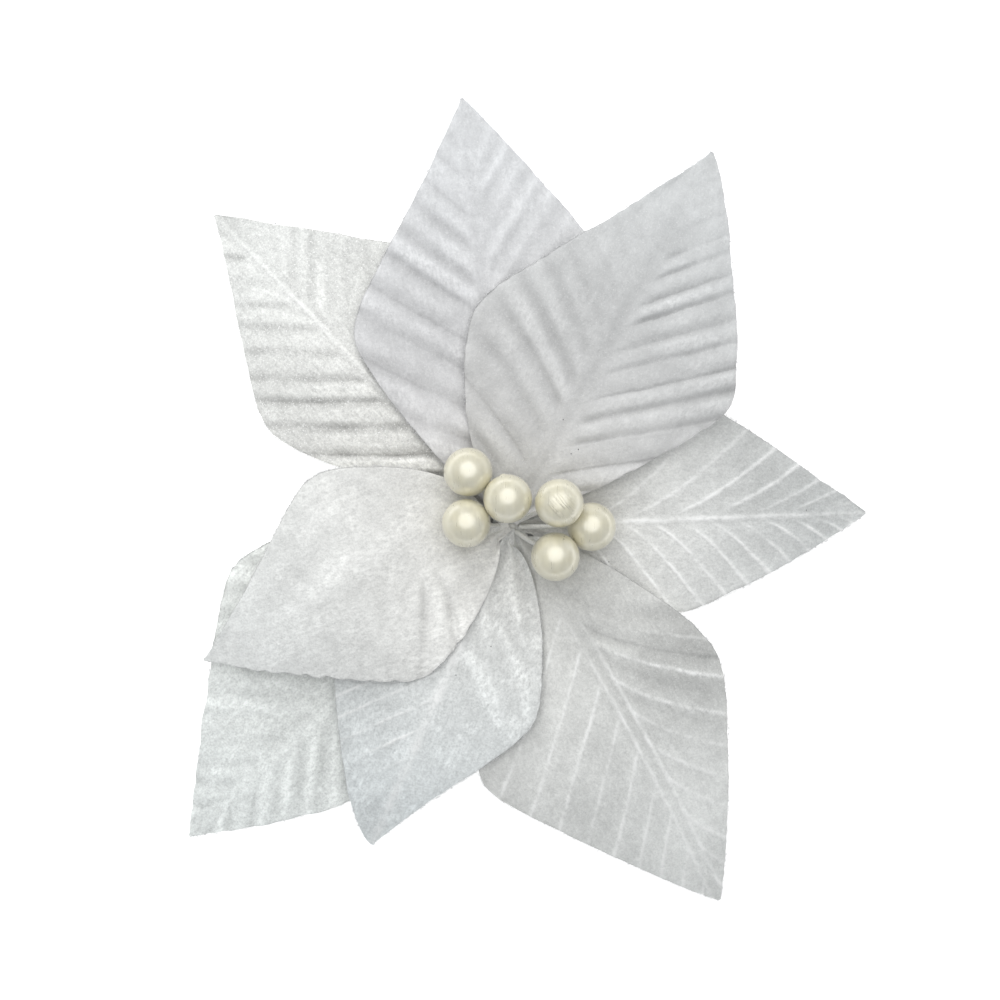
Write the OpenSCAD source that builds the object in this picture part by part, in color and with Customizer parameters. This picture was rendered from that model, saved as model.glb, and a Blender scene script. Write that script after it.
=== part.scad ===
// Flower hair clip: eight stiffened velvet leaves and six pearls on a sprung alligator clip.
// Millimetres. +Z points out of the flower's face, +Y towards the top leaf, +X to the right leaf.
// The origin is the middle of the whole outline, on the surface that the leaf tips rest on.

/* [Flower] */
// Place of the flower's hub to the right of the middle of the outline
hub_x = -2.6; // [-4:0.1:-1]
// Place of the flower's hub above the middle of the outline
hub_y = -4.2; // [-6:0.1:-2]
// Thickness of the stiffened velvet of each leaf
leaf_thick = 0.5; // [0.3:0.05:0.6]
// Height of the lowest leaves where they leave the hub
leaf_base_z = 11.3; // [11.3:0.1:13]
// Distance between two layers of leaves at the hub
layer_gap = 1.05; // [0.95:0.05:1.3]
// How much further apart two layers get with each millimetre from the hub
layer_spread = 0.03; // [0.02:0.005:0.05]
// How far the leaves rise from the hub to their highest ring
crown_rise = 3; // [2:0.1:4]
// Distance of the highest ring from the hub
crown_radius = 28; // [22:1:34]
// Softness of a leaf's widest corner
corner_round = 5; // [3:0.5:7]

/* [Pearls] */
// Diameter of each pearl
pearl_d = 8; // [7:0.1:8]
// Diameter of the drilled hole that the stem sits in
pearl_hole_d = 0.9; // [0.85:0.05:1.2]
// Depth of the drilled hole
pearl_hole_depth = 5; // [3:0.5:6]
// Diameter of the wire stem under each pearl
stem_d = 0.8; // [0.6:0.05:0.8]

/* [Backing] */
// Diameter of the felt disc behind the leaves
felt_d = 38; // [30:1:42]
// Thickness of the felt disc
felt_thick = 1.2; // [0.8:0.1:1.5]
// Diameter of the bead of glue that holds the leaves and the stems
glue_d = 6; // [5:0.2:7]
// Height of the top of the bead of glue
glue_top_z = 16.2; // [16:0.1:16.6]

/* [Clip] */
// Width of the flat upper arm
arm_w = 8; // [7.6:0.1:9]
// Thickness of the upper arm's sheet
arm_thick = 0.7; // [0.6:0.05:0.8]
// Height of the upper arm's underside
arm_z = 8.8; // [8.6:0.1:9]
// Length of the jaw in front of the pivot
jaw_length = 38; // [34:1:42]
// Length of the tail behind the pivot
tail_length = 14; // [12:0.5:15]
// Width of the lower arm between the upper arm's ears
jaw_w = 6; // [5.6:0.1:6]
// Thickness of the lower arm's sheet
jaw_thick = 0.6; // [0.5:0.05:0.7]
// Height of the underside of the lower arm's flat middle
jaw_z = 3.2; // [3:0.1:3.4]
// Diameter of the hinge pin
pin_d = 1.5; // [1.3:0.1:1.6]
// Height of the hinge pin's axis
pin_z = 6; // [5.8:0.1:6.2]
// Distance of the hinge pin's axis below the middle of the outline
pivot_y = -18; // [-20:0.5:-16]
// Distance from one tooth to the next
tooth_pitch = 2; // [1.6:0.2:3]
// Depth of the teeth
tooth_depth = 1.1; // [0.8:0.1:1.4]

/* [Hidden] */

$fn = 64;
EPS = 0.01;

// ---- Leaves -------------------------------------------------------------------------------
// Each leaf lies on its own axis through the hub. Its outline is a rounded rhombus whose two
// sides differ, because each leaf is gathered a little differently where it is pinched.
// A side is [half-width, place of the widest point along the leaf,
//            fullness of the base (1 is straight), fullness of the tip (1 is straight)].
// A leaf is [heading, length, layer, height of the tip, rise of the middle, left side, right side].
UPPER_LEFT = [133.8, 72.2, 0, 0.25, 0.8, [18, 0.54, 0.95, 1.05], [23, 0.52, 1, 1]];
RIGHT = [2, 59.6, 0, 0.25, 0.8, [21, 0.46, 1, 1], [15, 0.43, 1, 0.9]];
BOTTOM_LEFT = [-136, 75.4, 0, 0.25, 0.8, [14.5, 0.65, 1, 0.95], [27, 0.5, 0.5, 1]];
TOP = [96.7, 71.9, 1, 5, 0.8, [22, 0.48, 0.75, 1.1], [23, 0.49, 1, 0.95]];
LOWER_RIGHT = [-61, 71.9, 1, 3, 0.8, [19.2, 0.48, 0.7, 0.9], [24.6, 0.48, 0.9, 0.95]];
UPPER_RIGHT = [61.8, 70.5, 2, 9, 1.5, [22, 0.41, 0.5, 1.1], [22, 0.48, 0.85, 0.85]];
BOTTOM = [-113.6, 58.1, 2, 8.5, 0.8, [16, 0.5, 0.6, 1.15], [19.5, 0.4, 1.1, 0.7]];
LEFT = [-156.4, 55.8, 3, 11.5, 2, [16.7, 0.41, 0.65, 0.95], [20.2, 0.49, 0.4, 1.15]];

leaf_start = 2;        // distance from the hub to a leaf's cut end, inside the glue
neck_end = 3;          // distance from the hub at which a leaf starts to widen
neck_half = 1.7;       // half-width of the pinched neck
tip_half = 0.3;        // half-width of the blunt tip
leaf_rows = 20;        // cells along a leaf
leaf_columns = 8;      // cells across a leaf
row_crowding = 1.3;    // above 1 the rows are closer together at the neck

function smooth_min(a, b) = (a + b - sqrt(pow(a - b, 2) + pow(corner_round, 2))) / 2;

function half_width(length, side, s) =
    let (
        peak = side[0] + corner_round / 2,
        tip_part = max(length - s, 0) / (length * (1 - side[1])),
        base_part = max(s - neck_end, 0) / (length * side[1] - neck_end),
        tip_line = tip_half + peak * pow(tip_part, side[3]),
        base_line = neck_half + (peak - neck_half) * pow(base_part, side[2])
    )
    max(smooth_min(tip_line, base_line), tip_half);

// Height of a layer's plain surface at distance r from the hub, before any leaf droops
function layer_z(layer, r) = leaf_base_z + crown_rise + layer * (layer_gap + layer_spread * r);

// Height of a leaf's middle surface: it rises to the crown's ring and droops to the tip
function droop_z(leaf, r) =
    let (
        fall = layer_z(leaf[2], leaf[1]) - leaf[3],
        rise_part = (crown_radius - r) / crown_radius,
        fall_part = (r - crown_radius) / (leaf[1] - crown_radius)
    )
    layer_z(leaf[2], r) - (r < crown_radius ? crown_rise * pow(rise_part, 2) : fall * pow(fall_part, 2));

// A point on a leaf's middle surface at distance s along it and v from -1 (right) to 1 (left)
function leaf_point(leaf, s, v) =
    let (
        t = v * half_width(leaf[1], v < 0 ? leaf[6] : leaf[5], s),
        rise = leaf[4] * (1 - v * v) * pow(sin(180 * s / leaf[1]), 2),
        x = hub_x + s * cos(leaf[0]) - t * sin(leaf[0]),
        y = hub_y + s * sin(leaf[0]) + t * cos(leaf[0])
    )
    [x, y, droop_z(leaf, norm([s, t])) + rise];

function leaf_skin(leaf, offset_z) = [
    for (i = [0 : leaf_rows], j = [0 : leaf_columns])
        let (
            s = leaf_start + (leaf[1] - leaf_start) * pow(i / leaf_rows, row_crowding),
            v = 2 * j / leaf_columns - 1
        )
        leaf_point(leaf, s, v) + [0, 0, offset_z]
];

// A thin closed sheet between an upper and a lower skin of the same grid
module leaf(shape) {
    across = leaf_columns + 1;
    below = across * (leaf_rows + 1);
    last = leaf_rows * across;
    upper_faces = [
        for (i = [0 : leaf_rows - 1], j = [0 : leaf_columns - 1])
            let (a = i * across + j)
            each [[a, a + 1, a + across + 1], [a, a + across + 1, a + across]]
    ];
    lower_faces = [for (f = upper_faces) [f[2] + below, f[1] + below, f[0] + below]];
    long_edges = [
        for (i = [0 : leaf_rows - 1])
            let (a = i * across, b = a + leaf_columns)
            each [
                [a, a + across, a + across + below], [a, a + across + below, a + below],
                [b + across, b, b + below], [b + across, b + below, b + across + below]
            ]
    ];
    end_edges = [
        for (j = [0 : leaf_columns - 1])
            let (a = j, b = last + j)
            each [
                [a + 1, a, a + below], [a + 1, a + below, a + 1 + below],
                [b, b + 1, b + 1 + below], [b, b + 1 + below, b + below]
            ]
    ];
    color("white")
        polyhedron(
            points = concat(leaf_skin(shape, leaf_thick / 2), leaf_skin(shape, -leaf_thick / 2)),
            faces = concat(upper_faces, lower_faces, long_edges, end_edges)
        );
}

// ---- Pearls and stems ---------------------------------------------------------------------
// Centres of the pearls, measured from the hub in plan, with their height above the table
PEARLS = [
    [-7.2, 8.8, 21.1], [-7.5, 0.4, 21.4], [-0.7, 4.4, 22.9],
    [7.7, 3.7, 22.9], [13.1, -0.2, 18.3], [7.1, -5.1, 20.7]
];
// Directions from the hub in which the stems stand side by side in the glue, in degrees
STEM_ROOT_TURNS = [140, 190, 90, 35, -10, -60];
stem_root_r = 1.2;      // distance from the hub at which the stems come out of the glue
stem_root_depth = 1;    // how deep the stems go into the glue

function pearl_centre(i) = [hub_x, hub_y, 0] + PEARLS[i];
function stem_root(i) =
    let (turn = STEM_ROOT_TURNS[i])
    [hub_x + stem_root_r * cos(turn), hub_y + stem_root_r * sin(turn), glue_top_z - stem_root_depth];

// Puts its children on the line from one point to another, with +Z along it
module along(from, to) {
    way = to - from;
    translate(from)
        rotate([0, acos(way[2] / norm(way)), atan2(way[1], way[0])])
            children();
}

module pearl(i) {
    reach = norm(pearl_centre(i) - stem_root(i));
    color("ivory")
        along(stem_root(i), pearl_centre(i))
            difference() {
                translate([0, 0, reach]) sphere(d = pearl_d);
                translate([0, 0, reach - pearl_d / 2 - 1])
                    cylinder(d = pearl_hole_d, h = pearl_hole_depth + 1);
            }
}

module stem(i) {
    reach = norm(pearl_centre(i) - stem_root(i)) - pearl_d / 2 + pearl_hole_depth - 0.2;
    color("gainsboro")
        along(stem_root(i), pearl_centre(i))
            cylinder(d = stem_d, h = reach);
}

// ---- Backing ------------------------------------------------------------------------------
felt_top_z = leaf_base_z - leaf_thick / 2 - 0.05;
felt_z = felt_top_z - felt_thick;
channel_w = arm_w + 0.6;      // width of the channel that the clip's arm is pressed into
channel_depth = 0.3;

module hub_glue() {
    color("whitesmoke")
        translate([hub_x, hub_y, felt_top_z])
            cylinder(d = glue_d, h = glue_top_z - felt_top_z);
}

// The felt is flat on both sides of the channel across its back
module felt_backing() {
    color("white")
        difference() {
            translate([hub_x, hub_y, felt_z])
                cylinder(d = felt_d, h = felt_thick, $fn = 96);
            translate([hub_x - channel_w / 2, hub_y - felt_d, felt_z - felt_thick])
                cube([channel_w, 2 * felt_d, felt_thick + channel_depth]);
        }
}

// The thin bed of glue between the felt and the clip's upper arm
module arm_glue() {
    bed_w = arm_w - 1.5;
    bed_l = felt_d - 4;
    color("whitesmoke")
        translate([hub_x - bed_w / 2, hub_y - bed_l / 2, arm_z + arm_thick])
            cube([bed_w, bed_l, felt_z + channel_depth - arm_z - arm_thick]);
}

// ---- Clip ---------------------------------------------------------------------------------
// The clip lies along Y. In its own frame Y is measured from the hinge pin, forward to the jaw.
bore_play = 0.05;                        // between the pin and each bore, on the radius
ear_thick = 0.7;                         // thickness of the upper arm's ears
upper_ear_r = 1.9;
lower_ear_r = 1.6;
jaw_rest_gap = 0.3;                      // between the teeth and the upper arm when shut
jaw_flat_end = 10;                       // where the lower arm starts to rise to its tip
tail_bend = -4;                          // where the tail starts to slope down
tail_slope = 0.24;                       // how much the tail falls for each millimetre
rise_fullness = 1.3;                     // 1 would make the jaw's rise a straight line
tooth_top_z = arm_z - jaw_rest_gap;
jaw_rise = tooth_top_z - jaw_thick - jaw_z;
teeth_start = 20;                        // where the first tooth stands
flange_start = 14;                       // where the toothed side walls begin
grip_w = arm_w;                          // width of the thumb grip on the tail
grip_length = 5;

module in_clip() {
    translate([hub_x, pivot_y, 0]) children();
}

// Extrudes a side view, drawn as [Y, Z], to the width from x to x + w
module side_view(x, w) {
    translate([x, 0, 0])
        rotate([90, 0, 90])
            linear_extrude(w)
                children();
}

// A round bar along X at the hinge
module across_hinge(x, w, d) {
    translate([x, 0, pin_z])
        rotate([0, 90, 0])
            cylinder(d = d, h = w);
}

module upper_ear(x) {
    across_hinge(x, ear_thick, 2 * upper_ear_r);
    translate([x, -upper_ear_r, pin_z])
        cube([ear_thick, 2 * upper_ear_r, arm_z + arm_thick / 2 - pin_z]);
}

module clip_upper_arm() {
    end_r = arm_w / 2;
    color("silver")
        in_clip()
            difference() {
                union() {
                    translate([0, 0, arm_z])
                        linear_extrude(arm_thick) {
                            translate([-end_r, -tail_length + end_r])
                                square([arm_w, jaw_length + tail_length + 2 - arm_w]);
                            translate([0, -tail_length + end_r]) circle(end_r);
                            translate([0, jaw_length + 2 - end_r]) circle(end_r);
                        }
                    upper_ear(-end_r);
                    upper_ear(end_r - ear_thick);
                }
                across_hinge(-arm_w, 2 * arm_w, pin_d + 2 * bore_play);
            }
}

// Height of the lower arm's underside along its length
function jaw_under_z(y) =
    y < tail_bend ? jaw_z + tail_slope * (y - tail_bend) :
    y < jaw_flat_end ? jaw_z :
    jaw_z + jaw_rise * pow((y - jaw_flat_end) / (jaw_length - jaw_flat_end), rise_fullness);

function jaw_line(from, to, lift) = [
    for (y = [from : (to - from) / 12 : to + EPS])
        [y, jaw_under_z(y) + lift]
];

function backwards(list) = [for (i = [len(list) - 1 : -1 : 0]) list[i]];

// Side view of the lower arm's bent sheet between two places along it
module jaw_sheet(from, to) {
    polygon(concat(jaw_line(from, to, 0), backwards(jaw_line(from, to, jaw_thick))));
}

// Side view of one toothed side wall
module toothed_wall() {
    tooth_count = floor((jaw_length - teeth_start) / tooth_pitch);
    teeth = [
        for (i = [0 : tooth_count - 1])
            let (y = teeth_start + i * tooth_pitch)
            each [[y, tooth_top_z - tooth_depth], [y + tooth_pitch / 2, tooth_top_z]]
    ];
    teeth_end = teeth_start + tooth_count * tooth_pitch;
    polygon(concat(
        jaw_line(flange_start, jaw_length, jaw_thick / 2),
        [[jaw_length, tooth_top_z - jaw_thick / 2], [teeth_end, tooth_top_z - jaw_thick / 2]],
        backwards(teeth),
        [[flange_start, jaw_under_z(flange_start) + jaw_thick]]
    ));
}

module lower_ear(x) {
    across_hinge(x, jaw_thick, 2 * lower_ear_r);
    translate([x, -lower_ear_r, jaw_z + jaw_thick / 2])
        cube([jaw_thick, 2 * lower_ear_r, pin_z - jaw_z - jaw_thick / 2]);
}

// Three ribs across the underside of the thumb grip
module grip_ribs() {
    rib_d = 0.6;
    for (i = [0 : 2]) {
        y = -tail_length + 1 + 1.4 * i;
        translate([-grip_w / 2 + 0.6, y, jaw_under_z(y)])
            rotate([0, 90, 0])
                cylinder(d = rib_d, h = grip_w - 1.2, $fn = 24);
    }
}

module clip_lower_arm() {
    color("silver")
        in_clip()
            difference() {
                union() {
                    side_view(-jaw_w / 2, jaw_w) jaw_sheet(-tail_length, jaw_length);
                    side_view(-grip_w / 2, grip_w) jaw_sheet(-tail_length, -tail_length + grip_length);
                    for (x = [-jaw_w / 2, jaw_w / 2 - jaw_thick]) {
                        side_view(x, jaw_thick) toothed_wall();
                        lower_ear(x);
                    }
                    grip_ribs();
                }
                across_hinge(-arm_w, 2 * arm_w, pin_d + 2 * bore_play);
            }
}

module hinge_pin() {
    head_d = 2.2;
    head_thick = 0.25;
    color("silver")
        in_clip() {
            across_hinge(-arm_w / 2, arm_w, pin_d);
            for (x = [-arm_w / 2 - head_thick, arm_w / 2])
                across_hinge(x, head_thick, head_d);
        }
}

// ---- Torsion spring -----------------------------------------------------------------------
// The wire comes in along the lower arm's tail, winds round the pin and leaves along the
// upper arm's tail. Points are [X, Y, Z] from the hinge axis.
spring_wire_d = 0.6;
spring_r = 1.35;              // radius of the wire's centre line
spring_turns = 4.5;
spring_half_w = 1.5;          // half the coil's width between wire centres
steps_per_turn = 16;
wire_sides = 8;
LOWER_LEG = [[-1.5, -9.5, -3.1], [-1.5, -6, -2.35], [-1.5, -3, -1.65], [-1.5, -1.2, -1.4]];
UPPER_LEG = [[1.5, -1.2, 1.4], [1.5, -3, 1.5], [1.5, -6, 1.85], [1.5, -9.5, 2.4]];

coil_steps = spring_turns * steps_per_turn;
COIL = [
    for (i = [0 : coil_steps])
        let (part = i / coil_steps, turn = 270 + 360 * spring_turns * part)
        [spring_half_w * (2 * part - 1), spring_r * cos(turn), spring_r * sin(turn)]
];
SPRING_PATH = concat(LOWER_LEG, COIL, UPPER_LEG);

function unit(v) = v / norm(v);
function path_way(path, i) = unit(path[min(i + 1, len(path) - 1)] - path[max(i - 1, 0)]);

// A ring of the wire's surface round point i of the path, kept level with the X axis
function wire_ring(path, i) =
    let (
        way = path_way(path, i),
        side = unit([1, 0, 0] - way[0] * way),
        up = cross(way, side)
    )
    [
        for (k = [0 : wire_sides - 1])
            let (a = 360 * k / wire_sides)
            path[i] + spring_wire_d / 2 * (cos(a) * side + sin(a) * up)
    ];

module spring() {
    rings = len(SPRING_PATH);
    points = [for (i = [0 : rings - 1]) each wire_ring(SPRING_PATH, i)];
    walls = [
        for (i = [0 : rings - 2], k = [0 : wire_sides - 1])
            let (
                a = i * wire_sides + k,
                b = i * wire_sides + (k + 1) % wire_sides
            )
            each [[a, a + wire_sides, b + wire_sides], [a, b + wire_sides, b]]
    ];
    first_cap = [for (k = [0 : wire_sides - 1]) k];
    last_cap = [for (k = [wire_sides - 1 : -1 : 0]) (rings - 1) * wire_sides + k];
    color("dimgray")
        in_clip()
            translate([0, 0, pin_z])
                polyhedron(points = points, faces = concat(walls, [first_cap], [last_cap]));
}

leaf(UPPER_LEFT);  // leaf_upper_left
leaf(RIGHT);  // leaf_right
leaf(BOTTOM_LEFT);  // leaf_bottom_left
leaf(TOP);  // leaf_top
leaf(LOWER_RIGHT);  // leaf_lower_right
leaf(UPPER_RIGHT);  // leaf_upper_right
leaf(BOTTOM);  // leaf_bottom
leaf(LEFT);  // leaf_left
pearl(0);  // pearl_1
pearl(1);  // pearl_2
pearl(2);  // pearl_3
pearl(3);  // pearl_4
pearl(4);  // pearl_5
pearl(5);  // pearl_6
stem(0);  // stem_1
stem(1);  // stem_2
stem(2);  // stem_3
stem(3);  // stem_4
stem(4);  // stem_5
stem(5);  // stem_6
hub_glue();
felt_backing();
arm_glue();
clip_upper_arm();
clip_lower_arm();
hinge_pin();
spring();
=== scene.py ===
import math
from dataclasses import dataclass

import bpy
import numpy as np
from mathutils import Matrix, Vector


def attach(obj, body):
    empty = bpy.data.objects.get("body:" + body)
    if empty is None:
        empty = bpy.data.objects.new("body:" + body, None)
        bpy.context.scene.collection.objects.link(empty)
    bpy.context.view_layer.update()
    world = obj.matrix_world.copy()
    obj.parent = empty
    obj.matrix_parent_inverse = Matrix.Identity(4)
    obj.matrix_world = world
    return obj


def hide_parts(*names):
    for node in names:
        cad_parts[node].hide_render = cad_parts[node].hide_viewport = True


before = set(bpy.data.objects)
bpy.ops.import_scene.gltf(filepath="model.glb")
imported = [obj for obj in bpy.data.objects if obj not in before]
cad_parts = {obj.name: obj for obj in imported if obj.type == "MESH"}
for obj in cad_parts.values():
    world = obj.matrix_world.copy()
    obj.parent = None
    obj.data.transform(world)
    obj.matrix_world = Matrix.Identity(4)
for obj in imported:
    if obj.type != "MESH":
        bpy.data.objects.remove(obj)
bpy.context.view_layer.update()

MM = 0.001

# Sizes are in millimetres in the row's frame, and meshes are scaled to metres when made.
# The leaves, the pearls, the stems and the spring repeat the CAD model's driving dimensions.
HUB = np.array([-2.6, -4.2])
LEAF_THICK = 0.5
LEAF_BASE_Z = 11.3
LAYER_GAP = 1.05
LAYER_SPREAD = 0.03
CROWN_RISE = 3.0
CROWN_RADIUS = 28.0
CORNER_ROUND = 5.0
LEAF_START = 0.4
NECK_END = 3.0
NECK_HALF = 1.7
TIP_HALF = 0.3
NECK_RISE = 2.8
NECK_CLOSE = 0.45


# ---- Repeatable noise ----

def lattice(i, j, seed):
    """A repeatable number from -1 to 1 for each whole point of a grid."""
    mixed = (i * 374761393 + j * 668265263 + seed * 974711) & 0xFFFFFFFF
    mixed = ((mixed ^ (mixed >> 13)) * 1274126177) & 0xFFFFFFFF
    mixed = ((mixed ^ (mixed >> 16)) * 2246822519) & 0xFFFFFFFF
    return ((mixed ^ (mixed >> 15)) & 0xFFFF) / 32767.5 - 1


def noise(x, y, seed):
    """Smooth noise from -1 to 1 with a feature size of 1."""
    x, y = np.broadcast_arrays(np.asarray(x, float), np.asarray(y, float))
    i = np.floor(x).astype(np.int64)
    j = np.floor(y).astype(np.int64)
    u = x - i
    w = y - j
    u = u * u * (3 - 2 * u)
    w = w * w * (3 - 2 * w)
    low = lattice(i, j, seed) * (1 - u) + lattice(i + 1, j, seed) * u
    high = lattice(i, j + 1, seed) * (1 - u) + lattice(i + 1, j + 1, seed) * u
    return low * (1 - w) + high * w


def smoothstep(low, high, x):
    part = np.clip((x - low) / (high - low), 0, 1)
    return part * part * (3 - 2 * part)


def bell(x, width):
    return np.exp(-((x / width) ** 2))


# ---- Meshes ----

def add_object(name, data):
    """A new object in the scene that holds data."""
    holder = bpy.data.objects.new(name, data)
    bpy.context.scene.collection.objects.link(holder)
    return holder


def new_piece(name, points, faces, materials, body, face_materials=None):
    """A smooth closed piece from points in millimetres and an array or a list of faces."""
    mesh = bpy.data.meshes.new(name)
    mesh.from_pydata((np.asarray(points) * MM).tolist(), [], [list(face) for face in faces])
    for material in materials:
        mesh.materials.append(material)
    if face_materials is not None:
        mesh.polygons.foreach_set("material_index", np.asarray(face_materials, np.int32))
    mesh.polygons.foreach_set("use_smooth", np.full(len(mesh.polygons), True))
    mesh.update()
    turn_outwards(mesh)
    piece = add_object(name, mesh)
    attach(piece, body)
    return piece


def turn_outwards(mesh):
    """Flips every face if the closed mesh is inside out, which its signed volume shows."""
    mesh.calc_loop_triangles()
    corners = np.empty(len(mesh.loop_triangles) * 3, np.int32)
    mesh.loop_triangles.foreach_get("vertices", corners)
    places = np.empty(len(mesh.vertices) * 3)
    mesh.vertices.foreach_get("co", places)
    a, b, c = places.reshape(-1, 3)[corners.reshape(-1, 3)].transpose(1, 0, 2)
    if np.einsum("ij,ij->i", a, np.cross(b, c)).sum() < 0:
        mesh.flip_normals()


def add_values(piece, name, values):
    """Stores a number or a vector for each point of a piece, which its material reads."""
    values = np.asarray(values, np.float32)
    kind, field = ("FLOAT", "value") if values.ndim == 1 else ("FLOAT_VECTOR", "vector")
    attribute = piece.data.attributes.new(name, kind, "POINT")
    attribute.data.foreach_set(field, values.ravel())


def grid_faces(rows, columns, wrap=False):
    """Four-sided faces over a grid of points, rows by columns, closed round its columns if wrap."""
    last = columns if wrap else columns - 1
    i, j = np.meshgrid(np.arange(rows - 1), np.arange(last), indexing="ij")
    a = (i * columns + j).ravel()
    b = (i * columns + (j + 1) % columns).ravel()
    return np.stack([a, b, b + columns, a + columns], 1)


def tube_faces(rows, columns):
    """Faces of a tube of rings, rows of them, with one flat face over each end."""
    faces = grid_faces(rows, columns, wrap=True).tolist()
    faces.append(list(range(columns))[::-1])
    faces.append(list(range((rows - 1) * columns, rows * columns)))
    return faces


def sheet_faces(rows, columns):
    """Faces of a sheet's upper skin and rim, and of its lower skin, whose points come second."""
    grid = np.arange(rows * columns).reshape(rows, columns)
    rim = np.concatenate([grid[:-1, 0], grid[-1, :-1], grid[:0:-1, -1], grid[0, :0:-1]])
    after = np.roll(rim, -1)
    walls = np.stack([rim, after, after + grid.size, rim + grid.size], 1)
    skin = grid_faces(rows, columns)
    return np.concatenate([skin[:, ::-1], walls]), skin + grid.size


def turns_round(count):
    """Angles of count points round a ring."""
    return np.arange(count) * 2 * math.pi / count


def ring_at(turn, side, up):
    """Directions out from a ring's centre at each turn, where side and up span its plane."""
    return np.cos(turn)[:, None] * side + np.sin(turn)[:, None] * up


def unit(vectors):
    return vectors / np.linalg.norm(vectors, axis=-1, keepdims=True)


def sweep(path, radii, sides, ripple=None):
    """Points and faces of a closed round bar along a path, with radii for its rings."""
    path = np.asarray(path, float)
    ways = unit(np.gradient(path, axis=0))
    side = np.cross(ways[0], [0.31, 0.17, 0.93])
    turn = turns_round(sides)
    rings = []
    for k, (centre, way) in enumerate(zip(path, ways)):
        side = unit(side - way * side.dot(way))
        reach = radii[k] * (1 if ripple is None else ripple(k, turn))
        rings.append(centre + ring_at(turn, side, np.cross(way, side)) * np.reshape(reach, (-1, 1)))
    return np.concatenate(rings), tube_faces(len(path), sides)


# ---- Materials ----

class Look:
    """A material's nodes, with short calls for the ones that repeat."""

    def __init__(self, name, **constants):
        self.material = bpy.data.materials.new(name)
        self.material.use_nodes = True
        self.tree = self.material.node_tree
        self.shader = self.tree.nodes["Principled BSDF"]
        for socket, value in constants.items():
            self.shader.inputs[socket.replace("_", " ")].default_value = value
        self.place = self.add("ShaderNodeTexCoord").outputs["Object"]

    def add(self, kind, inputs=(), **settings):
        node = self.tree.nodes.new(kind)
        for setting, value in settings.items():
            setattr(node, setting, value)
        for socket, value in dict(inputs).items():
            self.set(node.inputs[socket], value)
        return node

    def set(self, socket, value):
        if isinstance(value, bpy.types.NodeSocket):
            self.tree.links.new(value, socket)
        else:
            socket.default_value = value

    def attribute(self, name, vector=False):
        node = self.add("ShaderNodeAttribute", attribute_name=name)
        return node.outputs["Vector" if vector else "Fac"]

    def in_units(self, place, size, squeeze):
        """A place in units of size millimetres, longer ones where squeeze is low."""
        scale = [k / (size * MM) for k in squeeze]
        return self.add("ShaderNodeMapping", {"Vector": place, "Scale": scale}).outputs[0]

    def noise(self, size, detail=2, place=None, squeeze=(1, 1, 1), rough=0.5):
        """Noise from 0 to 1 whose features are size millimetres wide."""
        place = self.in_units(place or self.place, size, squeeze)
        node = self.add(
            "ShaderNodeTexNoise", {"Vector": place, "Scale": 1.0, "Detail": detail, "Roughness": rough},
        )
        return node.outputs["Fac"]

    def math(self, operation, a, b):
        return self.add("ShaderNodeMath", {0: a, 1: b}, operation=operation).outputs[0]

    def product(self, first, *others):
        for other in others:
            first = self.math("MULTIPLY", first, other)
        return first

    def spread(self, value, low, high, to_low=0.0, to_high=1.0):
        """Takes value from low and high to to_low and to_high, held at the ends."""
        node = self.add(
            "ShaderNodeMapRange",
            {"Value": value, "From Min": low, "From Max": high, "To Min": to_low, "To Max": to_high},
        )
        return node.outputs["Result"]

    def mix(self, factor, a, b):
        node = self.add("ShaderNodeMix", {"Factor": factor, "A": a, "B": b}, data_type="RGBA")
        return node.outputs["Result"]

    def scaled(self, colour, amount):
        """A colour made brighter or darker by a number."""
        inputs = {"Vector": colour, "Scale": amount}
        return self.add("ShaderNodeVectorMath", inputs, operation="SCALE").outputs[0]

    def bump(self, height, depth, strength=1.0, below=None):
        """A bump of depth millimetres, on top of another bump if below."""
        inputs = {"Height": height, "Distance": depth * MM, "Strength": strength}
        if below is not None:
            inputs["Normal"] = below
        return self.add("ShaderNodeBump", inputs).outputs["Normal"]

    def finish(self, colour, roughness=None, normal=None):
        for socket, value in (("Base Color", colour), ("Roughness", roughness), ("Normal", normal)):
            if value is not None:
                self.set(self.shader.inputs[socket], value)
        return self.material


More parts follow.
